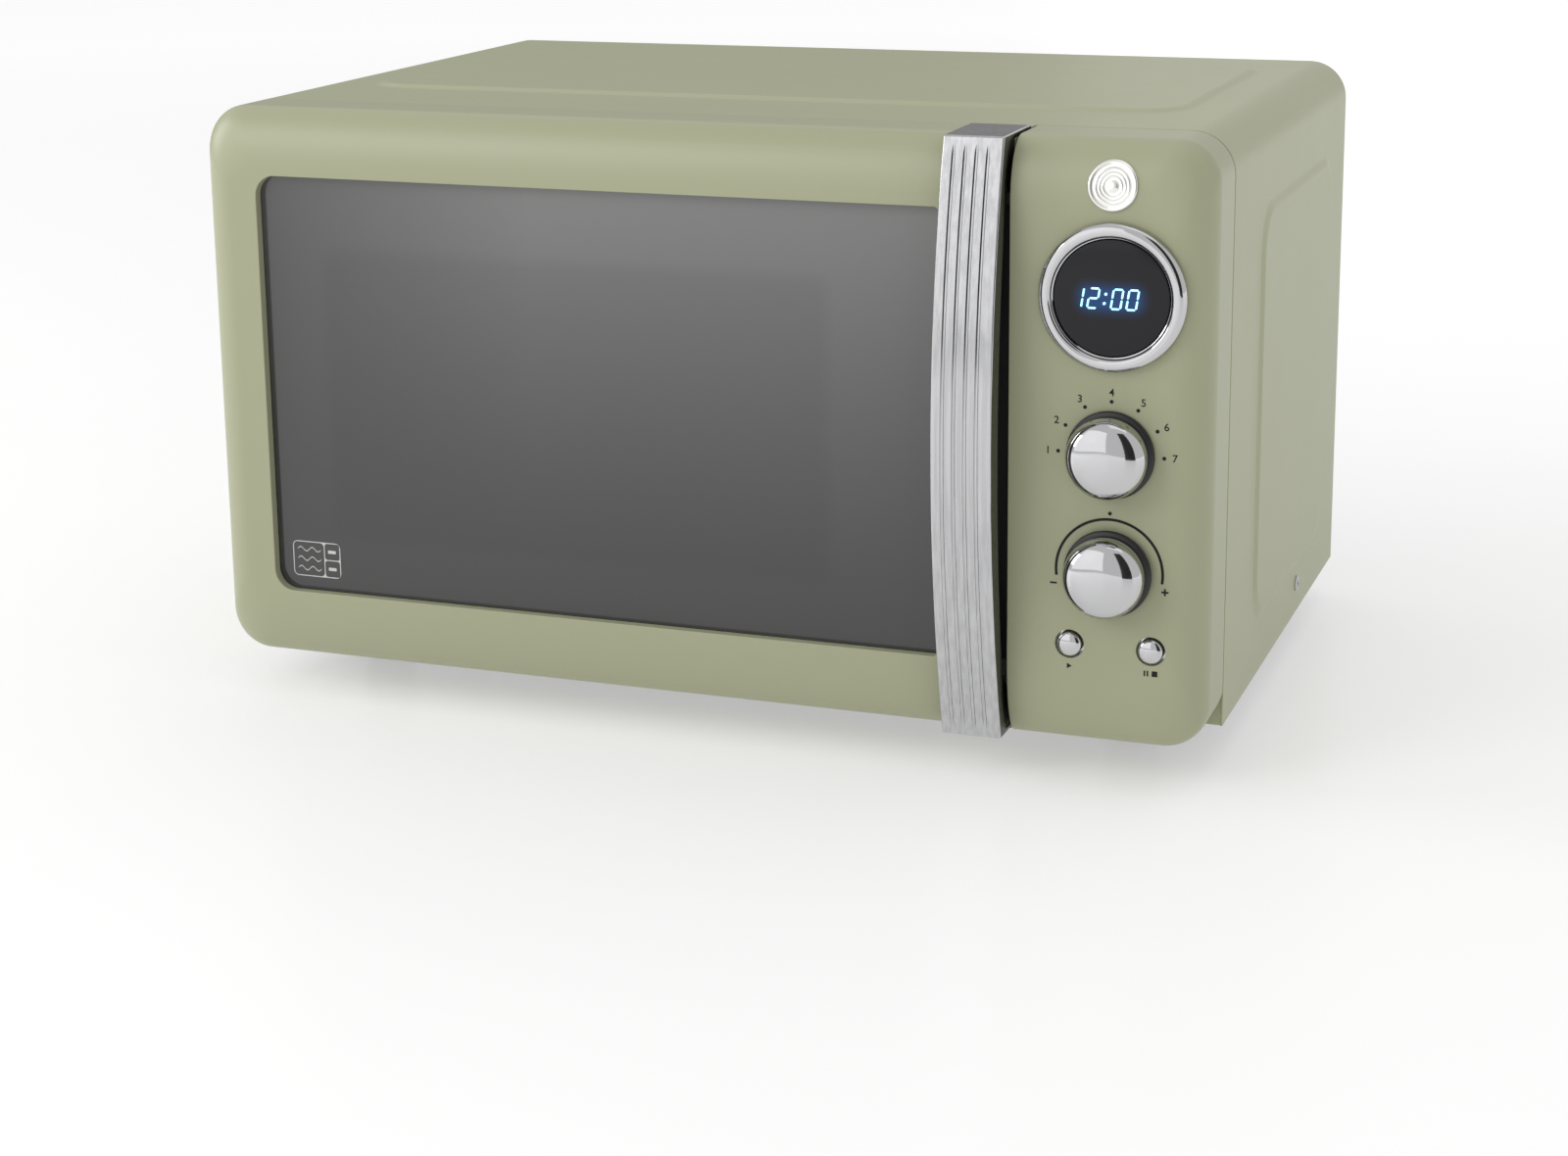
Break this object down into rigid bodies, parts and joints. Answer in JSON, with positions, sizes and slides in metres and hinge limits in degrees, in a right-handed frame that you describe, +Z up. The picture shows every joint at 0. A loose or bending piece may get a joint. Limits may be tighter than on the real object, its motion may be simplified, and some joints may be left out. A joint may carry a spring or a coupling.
{
  "type": "microwave oven",
  "caption": "Countertop microwave oven with a soft moulded front, side-hinged window door with a ribbed bow handle, round display, dials and push buttons, and a turntable.",
  "frame": {"origin": "middle of the bounding box's bottom face, on the surface that the feet stand on", "axes": "+X to the right of someone facing the front, +Y from the front to the rear, +Z up; the door faces -Y"},
  "size_m": [0.44, 0.321, 0.26],
  "materials": {
    "green_enamel": "satin",
    "green_plastic": "satin gloss",
    "zinc_steel": "zinc plated",
    "cavity_paint": "grey enamel",
    "chromed_plastic": "chromed",
    "black_plastic": "satin",
    "dark_glass": "smoked",
    "clear_glass": "clear",
    "rubber": "matt",
    "mica": "pressed mica",
    "board": "solder resist",
    "white_plastic": "moulded",
    "iron_and_copper": "varnished",
    "aluminium_case": "plain",
    "badge": "polished"
  },
  "bodies": {
    "oven": {"badge": "badge", "base_plate": "zinc_steel", "cable_gland": "black_plastic", "cavity_lamp": "clear_glass", "cavity_liner": "cavity_paint", "control_board": "board", "control_panel": "green_plastic", "display_lens": "dark_glass", "display_module": "black_plastic", "display_ring": "chromed_plastic", "door_switch_lower": "black_plastic", "door_switch_upper": "black_plastic", "fan_motor": "iron_and_copper", "fan_shroud": "white_plastic", "foot_front_left": "rubber", "foot_front_right": "rubber", "foot_rear_left": "rubber", "foot_rear_right": "rubber", "front_frame": "zinc_steel", "hv_capacitor": "aluminium_case", "hv_transformer": "iron_and_copper", "lower_hinge_bracket": "zinc_steel", "lower_hinge_pin": "zinc_steel", "magnetron": "aluminium_case", "mode_encoder": "white_plastic", "outer_cabinet": "green_enamel", "rear_panel": "zinc_steel", "rear_screw_1": "zinc_steel", "rear_screw_2": "zinc_steel", "rear_screw_3": "zinc_steel", "switch_bracket": "white_plastic", "timer_encoder": "white_plastic", "turntable_motor": "zinc_steel", "upper_hinge_bracket": "zinc_steel", "upper_hinge_pin": "zinc_steel", "waveguide_cover": "mica", "waveguide_duct": "zinc_steel"},
    "door": {"door_frame": "green_plastic", "door_glass": "dark_glass", "door_screen": "zinc_steel", "door_choke_cover": "black_plastic", "handle_grip": "chromed_plastic", "handle_base": "black_plastic", "latch_spring": "zinc_steel"},
    "latch": {"latch_hooks": "white_plastic"},
    "turntable_drive": {"drive_coupler": "white_plastic"},
    "plate": {"turntable_plate": "clear_glass"},
    "roller_support": {"roller_ring": "white_plastic"},
    "roller_a": {"roller_1": "white_plastic"},
    "roller_b": {"roller_2": "white_plastic"},
    "roller_c": {"roller_3": "white_plastic"},
    "mode_dial": {"mode_knob": "chromed_plastic", "mode_knob_skirt": "black_plastic", "mode_knob_shaft": "zinc_steel"},
    "timer_stem": {"timer_knob_shaft": "zinc_steel"},
    "timer_dial": {"timer_knob": "chromed_plastic", "timer_knob_skirt": "black_plastic"},
    "start_key": {"start_button": "chromed_plastic"},
    "stop_key": {"stop_button": "chromed_plastic"},
    "fan": {"fan_impeller": "white_plastic"}
  },
  "joints": [
    {"name": "door_hinge", "type": "hinge", "parent": "oven", "child": "door", "pos_m": [-0.2123, -0.108, 0.138], "axis": [0, 0, -1], "range_deg": [0, 100]},
    {"name": "latch_slide", "type": "slide", "parent": "door", "child": "latch", "axis": [0, 0, 1], "range_m": [0, 0.004], "stiffness_N_per_m": 120, "deforming": ["latch_spring"]},
    {"name": "turntable_spin", "type": "hinge", "parent": "oven", "child": "turntable_drive", "pos_m": [-0.044, 0.026, 0.05], "axis": [0, 0, 1], "continuous": true},
    {"name": "plate_lift", "type": "slide", "parent": "turntable_drive", "child": "plate", "axis": [0, 0, 1], "range_m": [0, 0.02]},
    {"name": "roller_ring_spin", "type": "hinge", "parent": "oven", "child": "roller_support", "pos_m": [-0.044, 0.026, 0.05], "axis": [0, 0, 1], "continuous": true},
    {"name": "roller_1_spin", "type": "hinge", "parent": "roller_support", "child": "roller_a", "pos_m": [-0.044, 0.11, 0.0523], "axis": [0, 1, 0], "continuous": true},
    {"name": "roller_2_spin", "type": "hinge", "parent": "roller_support", "child": "roller_b", "pos_m": [-0.11675, -0.016, 0.0523], "axis": [-0.866, -0.5, 0], "continuous": true},
    {"name": "roller_3_spin", "type": "hinge", "parent": "roller_support", "child": "roller_c", "pos_m": [0.02875, -0.016, 0.0523], "axis": [0.866, -0.5, 0], "continuous": true},
    {"name": "mode_turn", "type": "hinge", "parent": "oven", "child": "mode_dial", "pos_m": [0.181, -0.1405, 0.1378], "axis": [0, 1, 0], "range_deg": [0, 180]},
    {"name": "timer_turn", "type": "hinge", "parent": "oven", "child": "timer_stem", "pos_m": [0.181, -0.1405, 0.0907], "axis": [0, 1, 0], "continuous": true},
    {"name": "timer_push", "type": "slide", "parent": "timer_stem", "child": "timer_dial", "axis": [0, 1, 0], "range_m": [0, 0.0015], "stiffness_N_per_m": 500},
    {"name": "start_press", "type": "slide", "parent": "oven", "child": "start_key", "axis": [0, 1, 0], "range_m": [0, 0.0012], "stiffness_N_per_m": 400},
    {"name": "stop_press", "type": "slide", "parent": "oven", "child": "stop_key", "axis": [0, 1, 0], "range_m": [0, 0.0012], "stiffness_N_per_m": 400},
    {"name": "fan_spin", "type": "hinge", "parent": "oven", "child": "fan", "pos_m": [0.166, 0.145, 0.143], "axis": [0, 1, 0], "continuous": true}
  ],
  "couplings": [
    {"joint": "roller_ring_spin", "follows": "turntable_spin", "ratio": 0.5},
    {"joint": "roller_1_spin", "follows": "turntable_spin", "ratio": -6},
    {"joint": "roller_2_spin", "follows": "turntable_spin", "ratio": -6},
    {"joint": "roller_3_spin", "follows": "turntable_spin", "ratio": -6}
  ]
}
